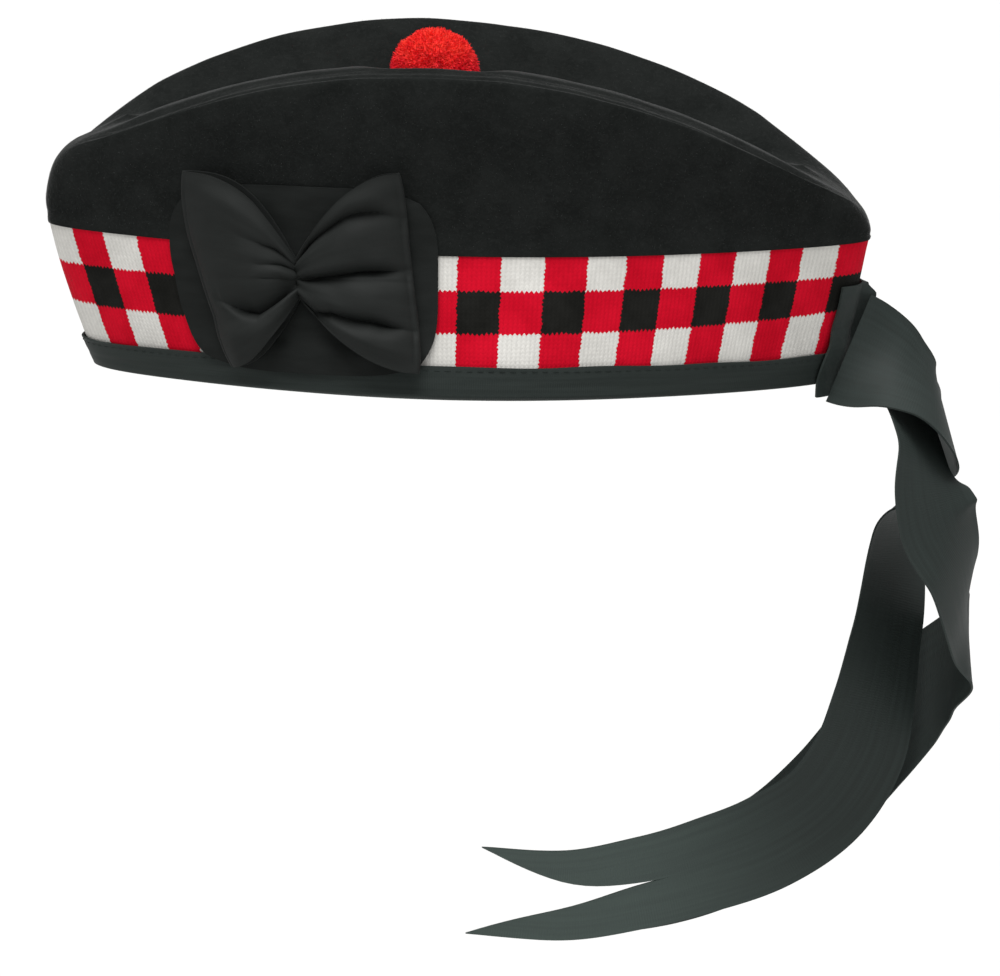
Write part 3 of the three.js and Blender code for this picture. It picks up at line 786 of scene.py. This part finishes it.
# Small pleats at the pinch: depth, how close they lie and how far they run out
PLEAT_DEPTH, PLEAT_RATE, PLEAT_REACH = 0.6, 9.5, 0.16
BOW_SILK_HALF = 0.35
# The patch behind the bow, from the pinch
BACKING_SHIFT, BACKING_UP, BACKING_HALF_WIDTH, BACKING_HALF_HEIGHT = 1.3, 34.4, 41.5, 29.4
BACKING_CORNER, BACKING_SILK = 0.14, 0.6
# Reach along the cap of the wall that the bow lies on
SIDE_REACH = 129.0
# Creases in the bow: side (-1 is the front), how far each reaches up and down and its depth, in millimetres,
# then its places. Each place is a share of the way out from the pinch and a share of the half height, from
# the lower edge (-1) to the upper edge (1).
BOW_CREASES = [
    (1, 1.6, 3.4, 5.2, [(0, 0.78), (0.16, 0.81), (0.36, 0.78), (0.52, 0.77), (0.83, 0.68), (1, 0.6)]),
    (1, 1.2, 3.4, 6.4, [(0, 0.0), (0.1, 0.02), (0.6, 0.1), (1, 0.11)]),
    (1, 1.3, 3.0, 5.4, [(0, -0.8), (0.12, -0.85), (0.3, -0.6), (0.64, -0.51), (0.92, -0.53), (1, -0.55)]),
    (-1, 5.0, 1.0, 6.0, [(0, -0.5), (0.1, -0.5), (0.31, -0.54), (0.45, -0.56), (0.66, -0.42), (0.83, -0.28)]),
    (-1, 1.1, 1.9, 3.2, [(0, 0.34), (0.12, 0.3), (0.22, 0.22), (0.3, 0.18)]),
    (-1, 1.0, 1.6, 2.8, [(0, -0.05), (0.14, 0.02), (0.27, 0.0)]),
    (-1, 1.2, 2.2, 2.2, [(0, 0.7), (0.12, 0.62), (0.25, 0.52), (0.42, 0.5)]),
]


def over_wall(across, up, lift):
    """A point over the left wall, across from the bow's pinch towards the back."""
    turn = 2 * np.pi - np.arccos((BOW_X + across) / SIDE_REACH)
    return side_at(turn, up, lift)


def make_backing():
    """The silk patch with rounded corners, puckered where it is sewn."""
    v, u = np.linspace(-1, 1, 48)[:, None], np.linspace(-1, 1, 64)[None]
    across = BACKING_SHIFT + BACKING_HALF_WIDTH * u * (1 - BACKING_CORNER * v**4)
    up = BACKING_UP + BACKING_HALF_HEIGHT * v * (1 - BACKING_CORNER * u**4)
    pucker = 0.2 * ripple(across, up, 15, 21) + 0.12 * ripple(across, up, 7, 22)
    rim = smoothstep(np.maximum(np.abs(u), np.abs(v)), 0.85, 1)
    seat = seat_lift(up) - 0.4 * rim
    front = over_wall(across, up, seat + SILK + pucker)
    back = over_wall(across, up, seat + SILK - BACKING_SILK + np.minimum(pucker, 0.1))
    pattern = np.stack(np.broadcast_arrays(across, up), -1)
    piece = two_faced("bow_backing", front, back, pattern, BACKING_LOOK)
    return finish_piece(piece, "black_silk", "bow_backing")


def bow_across(share, v):
    """Shares run from the pinch, 0, to the bow's leaning front end, -1, and its back end, 1."""
    return share * np.where(share < 0, BOW_FRONT + BOW_LEAN * v, BOW_BACK + BOW_BACK_LEAN * v)


def bow_half_height(share, v):
    """Half the bow's height, above the pinch's level where v is positive and below it elsewhere."""
    full = np.where(v > 0, BOW_TOP + np.where(share > 0, BOW_BACK_RISE, 0), BOW_BOTTOM)
    flare = np.where((v > 0) & (share < 0), BOW_FULL_FLARE, BOW_FLARE)
    return BOW_WAIST + (full - BOW_WAIST) * (1 - np.maximum(1 - np.abs(share), 0) ** flare)


def bow_depth(share, v):
    """How far the loop's front stands before its back: a belly on each side with creases cut into it."""
    out = np.minimum(np.abs(share), 1)
    curl = 1 - 0.4 * smoothstep(np.abs(v), 0.78, 1)
    belly = BOW_BULGE * (out * (1 - out)) ** BOW_SWELL * (1 - v * v / 4) * curl
    cut = 0.0
    for side, upper, lower, depth, places in BOW_CREASES:
        line = np.array(places, float)
        off = (v - np.interp(out, *line.T)) * bow_half_height(share, v)
        width = np.where(off > 0, upper, lower) * (0.45 + 0.55 * smoothstep(out, 0, 0.4))
        last = line[-1, 0]
        along = smoothstep(out, -0.06, 0.14) * (1 - 0.75 * smoothstep(out, last - 0.3, last))
        ending = 1 - smoothstep(out, last, last + 0.12) if last < 1 else 1.0
        groove = np.exp(-((np.abs(off) / width) ** 1.3))
        cut = cut + (side * share > 0) * 0.85 * depth * along * ending * groove
    pleats = PLEAT_DEPTH * np.cos(v * PLEAT_RATE + 0.6 * np.sign(share)) * np.exp(-((out / PLEAT_REACH) ** 2))
    return 2 * SILK + np.maximum(belly - cut, -0.9) + pleats


def make_bow():
    """The loop of silk: along its creased front, round one end, along its flat back and round the other."""
    out = np.linspace(-1, 1, 150)
    angle = np.linspace(0, np.pi, 10)[1:-1]
    bend = 1 + BOW_ROUND / BOW_BACK * np.sin(angle)
    share = np.concatenate([out, bend, out[::-2], -bend])[None]
    falling, rising = (1 + np.cos(angle)) / 2, (1 - np.cos(angle)) / 2
    before = np.concatenate([0 * out + 1, falling, 0 * out[::-2], rising])[None]
    v = np.linspace(-1, 1, 110)[:, None]
    across = bow_across(share, v) * (1 - 0.04 * v**6)
    up = BOW_UP + v * bow_half_height(share, v)
    crumple = before * (0.26 * ripple(across, 26 * v, 17, 31) + 0.12 * ripple(across, 26 * v, 8, 32))
    seat = seat_lift(up - BINDING_HEIGHT / 2) + SILK + 2 * GAP + SILK / 2
    middle = over_wall(across, up, seat + before * bow_depth(share, v) + crumple)
    normal = grid_normals(middle, True)
    run = np.concatenate([[0], np.cumsum(np.hypot(BOW_BACK * np.diff(share[0]), 6 * np.diff(before[0])))])
    run = np.append(run, run[-1] + 2)
    pattern = np.stack(np.broadcast_arrays(run[None], 30 * v), -1)
    half = normal * BOW_SILK_HALF
    piece = two_faced("bow", middle + half, middle - half, pattern, SILK_LOOK, True)
    return finish_piece(piece, "black_silk", "bow")


# Tab and tails

# The tab: from its hanging edge to its top, its half width as a turn angle, its taper and its fin
TAB_LOW, TAB_HIGH, TAB_TURN, TAB_TAPER, TAB_FIN = -4.5, 31.0, math.pi / 8.5, 0.12, 5.0
TAB_MIDDLE_ROW = 18
# The tails' stations from the tab down: x, y, z, the ribbon's twist, 0 facing the left side, and the share of
# its full width, less where it is gathered.
NEAR_TAIL = [
    (123.5, -9.2, 10.2, 10.5, 1),
    (132.6, -11.4, 7, 35, 0.98),
    (140.4, -13.5, 4, 56, 0.97),
    (146.8, -13.8, 0.2, 67, 0.98),
    (151.3, -13, -4.4, 77, 1),
    (154.4, -9.8, -10.4, 88, 0.97),
    (155.8, -3.2, -16.6, 99, 0.88),
    (154.8, 6.2, -22.8, 109, 0.73),
    (151, 14.8, -29.4, 111, 0.7),
    (147.4, 20.2, -37, 99, 0.78),
    (144.2, 22.6, -44.5, 79, 0.92),
    (142, 22.4, -52.5, 68, 1),
    (141.6, 20.8, -61, 63, 1),
    (142, 18.5, -70.5, 55, 1),
    (141, 14.5, -82, 50, 1),
    (139, 11, -93, 46, 1),
    (136, 6, -109, 40, 1),
    (131.5, 3, -126, 30, 1),
    (121, 2, -143, 22, 1),
    (103, 1, -156, 18, 1),
    (83, 0, -164, 20, 1),
    (63, -2, -169.6, 22, 1),
    (39, -5, -173.5, 22, 1),
    (8, -9, -171.3, 25, 1),
]
FAR_TAIL = [
    (127.9, -5.1, 9, 12.5, 0.4),
    (132.4, -4.4, 5.4, 36, 0.48),
    (137.4, -6, 0, 56, 0.58),
    (141.6, -10.8, -6.4, 66, 0.7),
    (144.8, -17, -13, 70, 0.8),
    (147.8, -24.6, -21, 68, 0.88),
    (150, -30.4, -30, 50, 0.96),
    (153.2, -32.4, -41, 44, 1),
    (158, -29, -52.5, 58, 1),
    (161.4, -22, -66, 66, 1),
    (163.4, -11, -78, 77, 1),
    (165.2, 1, -88.5, 93, 1),
    (160, 17, -100, 118, 1),
    (150, 27, -113, 134, 1),
    (137, 31, -130, 138, 1),
    (123, 32, -147.5, 135, 1),
    (106, 31, -162, 128, 1),
    (88, 29.4, -171.5, 125, 1),
    (70, 27.6, -177.5, 123, 1),
    (47, 25, -181.5, 122, 1),
]
# Depth of the fork, and the share of the tail where its weave starts to lean towards it
FORK, FORK_START = 65.0, 0.55
# Length over which the ribbon's twist is eased, and how far its root is tucked towards the tab
EASING, ROOT_TUCK = 9.0, 0.3


def make_tab():
    """The ribbon folded round the back tip, with the fold standing out behind as a short fin."""
    up = np.linspace(TAB_LOW, TAB_HIGH, 42)[:, None]
    turn = np.linspace(-1, 1, 65)[None] * TAB_TURN * (1 - TAB_TAPER * smoothstep(up, 2, 16))
    fin = TAB_FIN * np.clip(1 - np.abs(turn) / (TAB_TURN / 4), 0, 1) ** 1.2
    fin = fin * (1 - 0.7 * smoothstep(up, TAB_HIGH - 4, TAB_HIGH))
    crease = 0.2 * ripple(turn * 90, up, 13, 41)
    lift = seat_lift(up) + crease
    below = np.minimum(up, 0) * np.array([0, 0, 1.0])[:, None, None]
    hang = np.moveaxis(np.broadcast_to(below, (3, *lift.shape)), 0, -1)
    front = side_at(turn, np.maximum(up, 0), lift + RIBBON) + hang
    front[..., 0] += fin
    back = side_at(turn, np.maximum(up, 0), np.maximum(lift, SEAT) + 0.2) + hang
    back[..., 0] += np.maximum(fin - 1.2, 0)
    run = run_along(front[TAB_MIDDLE_ROW])
    pattern = np.stack(np.broadcast_arrays(up - (TAB_LOW + TAB_HIGH) / 2, run[None]), -1)
    piece = two_faced("back_tab", front, back, pattern, TAIL_LOOK)
    return finish_piece(piece, "black_ribbon", "back_tab")


def eased(values, reach):
    """The rows of a table smoothed over that many rows to each side."""
    share = np.hanning(2 * reach + 3)[1:-1]
    longer = np.concatenate([np.repeat(values[:1], reach, 0), values, np.repeat(values[-1:], reach, 0)])
    return np.stack([np.convolve(column, share / share.sum(), "valid") for column in longer.T], -1)


def tail_cloth(stations, seed):
    """The middle of a forked ribbon along its stations, its pattern places, its length and its mean width."""
    table = np.array(stations, float)
    places = np.linspace(0, 1, 2001)
    line = spline(np.repeat(table[:, None, :3], len(places), axis=1), places)
    run = run_along(line)
    length = run[-1]
    stops = np.linspace(0, 1, len(table))
    twist = np.radians(np.interp(places, stops, table[:, 3]))
    half = RIBBON_WIDTH / 2 * np.interp(places, stops, table[:, 4])
    ahead = unit(np.gradient(line, axis=0))
    flat = unit(np.cross(ahead, [0, 1, 0]))
    deep = unit(np.cross(flat, ahead))
    wide = flat * np.cos(twist)[:, None] + deep * np.sin(twist)[:, None]
    reach = eased(wide * half[:, None], int(EASING / length * len(places)))
    spread = np.linspace(-1, 1, 33)[None]
    w = spread * np.abs(spread)
    share = np.linspace(0, 1, 260)[:, None]
    at = share * length - FORK * (1 - np.abs(spread)) * smoothstep(share, FORK_START, 1)

    def on(values):
        return np.stack([np.interp(at, run, values[:, k]) for k in range(3)], -1)

    sway = 0.22 * ripple(at, 18 * w, 34, seed) * smoothstep(at, 12, 40)
    across = on(reach)
    middle = on(line) + across * w[..., None]
    tuck = ROOT_TUCK * (1 - smoothstep(at, 0, 9))
    middle += unit(np.cross(on(ahead), across)) * (sway + tuck)[..., None]
    pattern = np.stack(np.broadcast_arrays(w * RIBBON_WIDTH / 2, at), -1)
    return middle, pattern, length, float(np.mean(half)) * 2


def make_tail(name, stations, look, seed):
    """A hanging ribbon, a little thicker along its two edges."""
    middle, pattern, length, mean_width = tail_cloth(stations, seed)
    normal = grid_normals(middle, False)
    selvage = 0.22 + 0.1 * smoothstep(np.abs(pattern[..., :1]), 17.2, 17.8)
    half = normal * selvage
    piece = two_faced(name, middle + half, middle - half, pattern, look)
    return finish_piece(piece, "black_ribbon", name)


# Repeated hairs, strands and stitches


def geometry_tree(name, inputs):
    tree = bpy.data.node_groups.new(name, "GeometryNodeTree")
    tree.interface.new_socket(name="Geometry", in_out="INPUT", socket_type="NodeSocketGeometry")
    for label, kind in inputs:
        tree.interface.new_socket(name=label, in_out="INPUT", socket_type=kind)
    tree.interface.new_socket(name="Geometry", in_out="OUTPUT", socket_type="NodeSocketGeometry")
    wiring = Wiring(tree)
    return wiring, wiring.node("NodeGroupInput").outputs, wiring.node("NodeGroupOutput").inputs


def set_on_points(wiring, points, shape, scale):
    spots, turns = points.outputs["Points"], points.outputs["Rotation"]
    inputs = {"Points": spots, "Instance": shape, "Rotation": turns, "Scale": scale}
    return wiring.node("GeometryNodeInstanceOnPoints", inputs).outputs[0]


def hair_tree():
    """Bent tapering hairs that stand on a surface, leaning at random."""
    labels = [("Density", VALUE), ("Length", VALUE), ("Width", VALUE), ("Curl", VALUE), ("Lean", VALUE)]
    w, given, out = geometry_tree(
        "standing_hairs",
        [*labels, ("Seed", "NodeSocketInt"), ("Material", "NodeSocketMaterial")],
    )
    points = w.node(
        "GeometryNodeDistributePointsOnFaces",
        {"Mesh": given["Geometry"], "Density": given["Density"], "Seed": given["Seed"]},
    )
    hair = w.node(
        "GeometryNodeMeshCone",
        {
            "Vertices": 3,
            "Side Segments": 3,
            "Radius Top": w.math("MULTIPLY", given["Width"], 0.3),
            "Radius Bottom": given["Width"],
            "Depth": given["Length"],
        },
        fill_type="NONE",
    ).outputs["Mesh"]
    rise = w.node("ShaderNodeSeparateXYZ", {0: w.node("GeometryNodeInputPosition").outputs[0]}).outputs[2]
    square = w.math("MULTIPLY", rise, rise)
    bend = w.math("MULTIPLY", w.math("DIVIDE", square, given["Length"]), given["Curl"])
    offset = w.node("ShaderNodeCombineXYZ", {0: bend}).outputs[0]
    curled = w.node("GeometryNodeSetPosition", {"Geometry": hair, "Offset": offset}).outputs[0]
    size = w.node("FunctionNodeRandomValue", {2: 0.55, 3: 1.15, "Seed": given["Seed"]}).outputs[1]
    placed = set_on_points(w, points, curled, size)
    less = w.math("MULTIPLY", given["Lean"], -1.0)
    low = w.node("ShaderNodeCombineXYZ", {0: less, 1: less, 2: -math.pi}).outputs[0]
    high = w.node("ShaderNodeCombineXYZ", {0: given["Lean"], 1: given["Lean"], 2: math.pi}).outputs[0]
    lean = w.node(
        "FunctionNodeRandomValue",
        {0: low, 1: high, "Seed": w.math("ADD", given["Seed"], 7.0)},
        data_type="FLOAT_VECTOR",
    ).outputs[0]
    turned = w.node("GeometryNodeRotateInstances", {"Instances": placed, "Rotation": lean}).outputs[0]
    solid = w.node("GeometryNodeRealizeInstances", {0: turned}).outputs[0]
    dyed = w.node("GeometryNodeSetMaterial", {"Geometry": solid, "Material": given["Material"]}).outputs[0]
    join(w, dyed, out["Geometry"])
    return w.tree


def stitch_tree():
    """Short stitches laid along a line, each thick in its middle and thin at both ends."""
    w, given, out = geometry_tree(
        "laid_stitches",
        [("Spacing", VALUE), ("Length", VALUE), ("Width", VALUE), ("Material", "NodeSocketMaterial")],
    )
    line = w.node("GeometryNodeMeshToCurve", {"Mesh": given["Geometry"]}).outputs[0]
    points = w.node("GeometryNodeCurveToPoints", {"Curve": line, "Length": given["Spacing"]}, mode="LENGTH")
    thread = w.node("GeometryNodeMeshUVSphere", {"Segments": 6, "Rings": 5, "Radius": 1.0}).outputs["Mesh"]
    half = w.math("MULTIPLY", given["Length"], 0.5)
    shape = w.node("ShaderNodeCombineXYZ", {0: given["Width"], 1: given["Width"], 2: half}).outputs[0]
    placed = set_on_points(w, points, thread, shape)
    solid = w.node("GeometryNodeRealizeInstances", {0: placed}).outputs[0]
    smooth = w.node("GeometryNodeSetShadeSmooth", {"Geometry": solid}).outputs[0]
    dyed = w.node("GeometryNodeSetMaterial", {"Geometry": smooth, "Material": given["Material"]}).outputs[0]
    join(w, dyed, out["Geometry"])
    return w.tree


HAIRS, STITCHES = hair_tree(), stitch_tree()


def grown(name, ground, tree, values):
    """The mesh that a node tree makes from a ground object, as a piece of its own."""
    modifier = ground.modifiers.new(name, "NODES")
    modifier.node_group = tree
    for item in tree.interface.items_tree:
        if item.in_out == "INPUT" and item.name in values:
            modifier[item.identifier] = values[item.name]
    bpy.context.view_layer.update()
    seen = ground.evaluated_get(bpy.context.evaluated_depsgraph_get())
    mesh = bpy.data.meshes.new_from_object(seen)
    ground.modifiers.remove(modifier)
    bpy.data.objects.remove(ground)
    return place_object(name, mesh)


def make_nap():
    """Loose hairs that stand up from the crown's felt, drawn pale as painted sheen."""
    cloth = crown_cloth()[0][1:]
    faces = cells(grid_index(*cloth.shape[:2], True))
    ground = make_object("nap_ground", cloth.reshape(-1, 3), faces, FELT_LOOK)
    values = {"Density": 220000.0, "Length": 0.0005, "Width": 0.00003, "Curl": 0.6, "Lean": 0.9, "Seed": 5}
    piece = grown("felt_nap", ground, HAIRS, values | {"Material": NAP_SHEEN_LOOK})
    return finish_piece(piece, "black_felt")


def make_binding_stitches():
    """The row of stitches that holds the binding, just inside its upper edge."""
    turns = np.linspace(0, 2 * np.pi, 721)[:-1]
    line = side_at(turns, BINDING_HEIGHT - 1.4, GAP + RIBBON + 0.06)
    mesh = bpy.data.meshes.new("stitch_line")
    links = [(i, (i + 1) % len(line)) for i in range(len(line))]
    mesh.from_pydata((line * MM).tolist(), links, [])
    ground = place_object("stitch_line", mesh)
    values = {"Spacing": 0.0034, "Length": 0.0021, "Width": 0.00012, "Material": THREAD_LOOK}
    return finish_piece(grown("binding_stitches", ground, STITCHES, values), "black_ribbon")


# Toorie


def make_toorie():
    """A ball of clipped wool in the cleft: a felted head with strands standing all over it."""
    work = bmesh.new()
    bmesh.ops.create_icosphere(work, subdivisions=5, radius=1.0)
    way = np.array([v.co for v in work.verts])
    a, b, c = (way * 30).T
    lumps = 0.3 * ripple(a + c, b, 26, 51) + 0.25 * ripple(a, b - c, 12, 52) + 0.12 * ripple(a - b, c, 6, 53)
    points = way * (TOORIE_HEAD + lumps)[:, None] + [TOORIE_X, 0, TOORIE_Z]
    for vert, point in zip(work.verts, points):
        vert.co = Vector(point) * MM
    mesh = bpy.data.meshes.new("toorie")
    work.to_mesh(mesh)
    work.free()
    mesh.materials.append(WOOL_LOOK)
    mesh.shade_smooth()
    head = place_object("toorie", mesh)
    ground = place_object("strand_ground", mesh.copy())
    values = {"Density": 5600000.0, "Length": 0.0015, "Width": 0.00022, "Curl": 0.4, "Lean": 0.6, "Seed": 9}
    strands = grown("toorie_strands", ground, HAIRS, values | {"Material": WOOL_LOOK})
    finish_piece(head, "red_wool", "toorie")
    return finish_piece(strands, "red_wool")


# Assembly

make_crown()
make_band()
make_binding()
make_backing()
make_bow()
make_toorie()
make_tab()
make_tail("tail_near", NEAR_TAIL, LIT_END_LOOK, 61)
make_tail("tail_far", FAR_TAIL, TAIL_LOOK, 62)
make_nap()
make_binding_stitches()


# Studio


def lit_floor():
    """A plain pale floor well below the cap, clear from beneath."""
    mesh = bpy.data.meshes.new("floor")
    reach, level = 12.0, -0.45
    corners = [(-reach, -reach, level), (reach, -reach, level), (reach, reach, level), (-reach, reach, level)]
    mesh.from_pydata(corners, [], [(0, 1, 2, 3)])
    material, w, shader = start_material("floor_paper")
    place = w.node("ShaderNodeTexCoord").outputs["Object"]
    tone = w.blend(w.noise(place, 6.0), paint(206, 206, 205), paint(210, 210, 209))
    rough = w.math("MULTIPLY_ADD", w.noise(place, 9.0), 0.05, 0.9)
    dress(w, shader, tone, rough, w.noise(place, 400.0), bump=0.05, depth=0.0002)
    below = w.node("ShaderNodeNewGeometry").outputs["Backfacing"]
    clear = w.node("ShaderNodeBsdfTransparent").outputs[0]
    mixed = w.node("ShaderNodeMixShader", {0: below, 1: shader.outputs[0], 2: clear}).outputs[0]
    w.tree.links.new(mixed, w.tree.nodes["Material Output"].inputs["Surface"])
    mesh.materials.append(material)
    place_object("floor", mesh)


def soft_lights():
    """A pale sky, a broad light from above and a faint one from before the cap's left side."""
    world = bpy.data.worlds.new("studio")
    world.use_nodes = True
    sky = world.node_tree.nodes["Background"]
    sky.inputs["Color"].default_value = (1.0, 1.0, 1.0, 1.0)
    sky.inputs["Strength"].default_value = 0.34
    bpy.context.scene.world = world
    for name, strength, spread, way in (
        ("key", 4.1, 45, (0.12, 0.18, -1.0)),
        ("fill", 0.5, 90, (-0.2, 1.0, -0.1)),
    ):
        lamp = bpy.data.lights.new(name, "SUN")
        lamp.energy = strength
        lamp.angle = math.radians(spread)
        holder = place_object(name, lamp)
        holder.rotation_mode = "QUATERNION"
        holder.rotation_quaternion = Vector(way).to_track_quat("-Z", "Y")


def photo_camera():
    """A distant camera, square to the cap's left side and looking a little down on it."""
    target, distance = Vector((0.0138, 0.0, -0.0399)), 2.4
    rise, roll = math.radians(13.2), math.radians(1.2)
    back = Vector((0, -math.cos(rise), math.sin(rise)))
    right = Vector((1, 0, 0))
    up = back.cross(right)
    level = Matrix((right, up, back)).transposed()
    camera = bpy.data.cameras.new("photo")
    camera.lens = 270.0
    camera.sensor_width = 36.0
    camera.clip_start = 0.1
    camera.clip_end = 60.0
    holder = place_object("photo", camera)
    turned = level @ Matrix.Rotation(roll, 3, "Z")
    holder.matrix_world = Matrix.Translation(target + back * distance) @ turned.to_4x4()
    bpy.context.scene.camera = holder


lit_floor()
soft_lights()
photo_camera()
bpy.context.scene.view_settings.view_transform = "Standard"
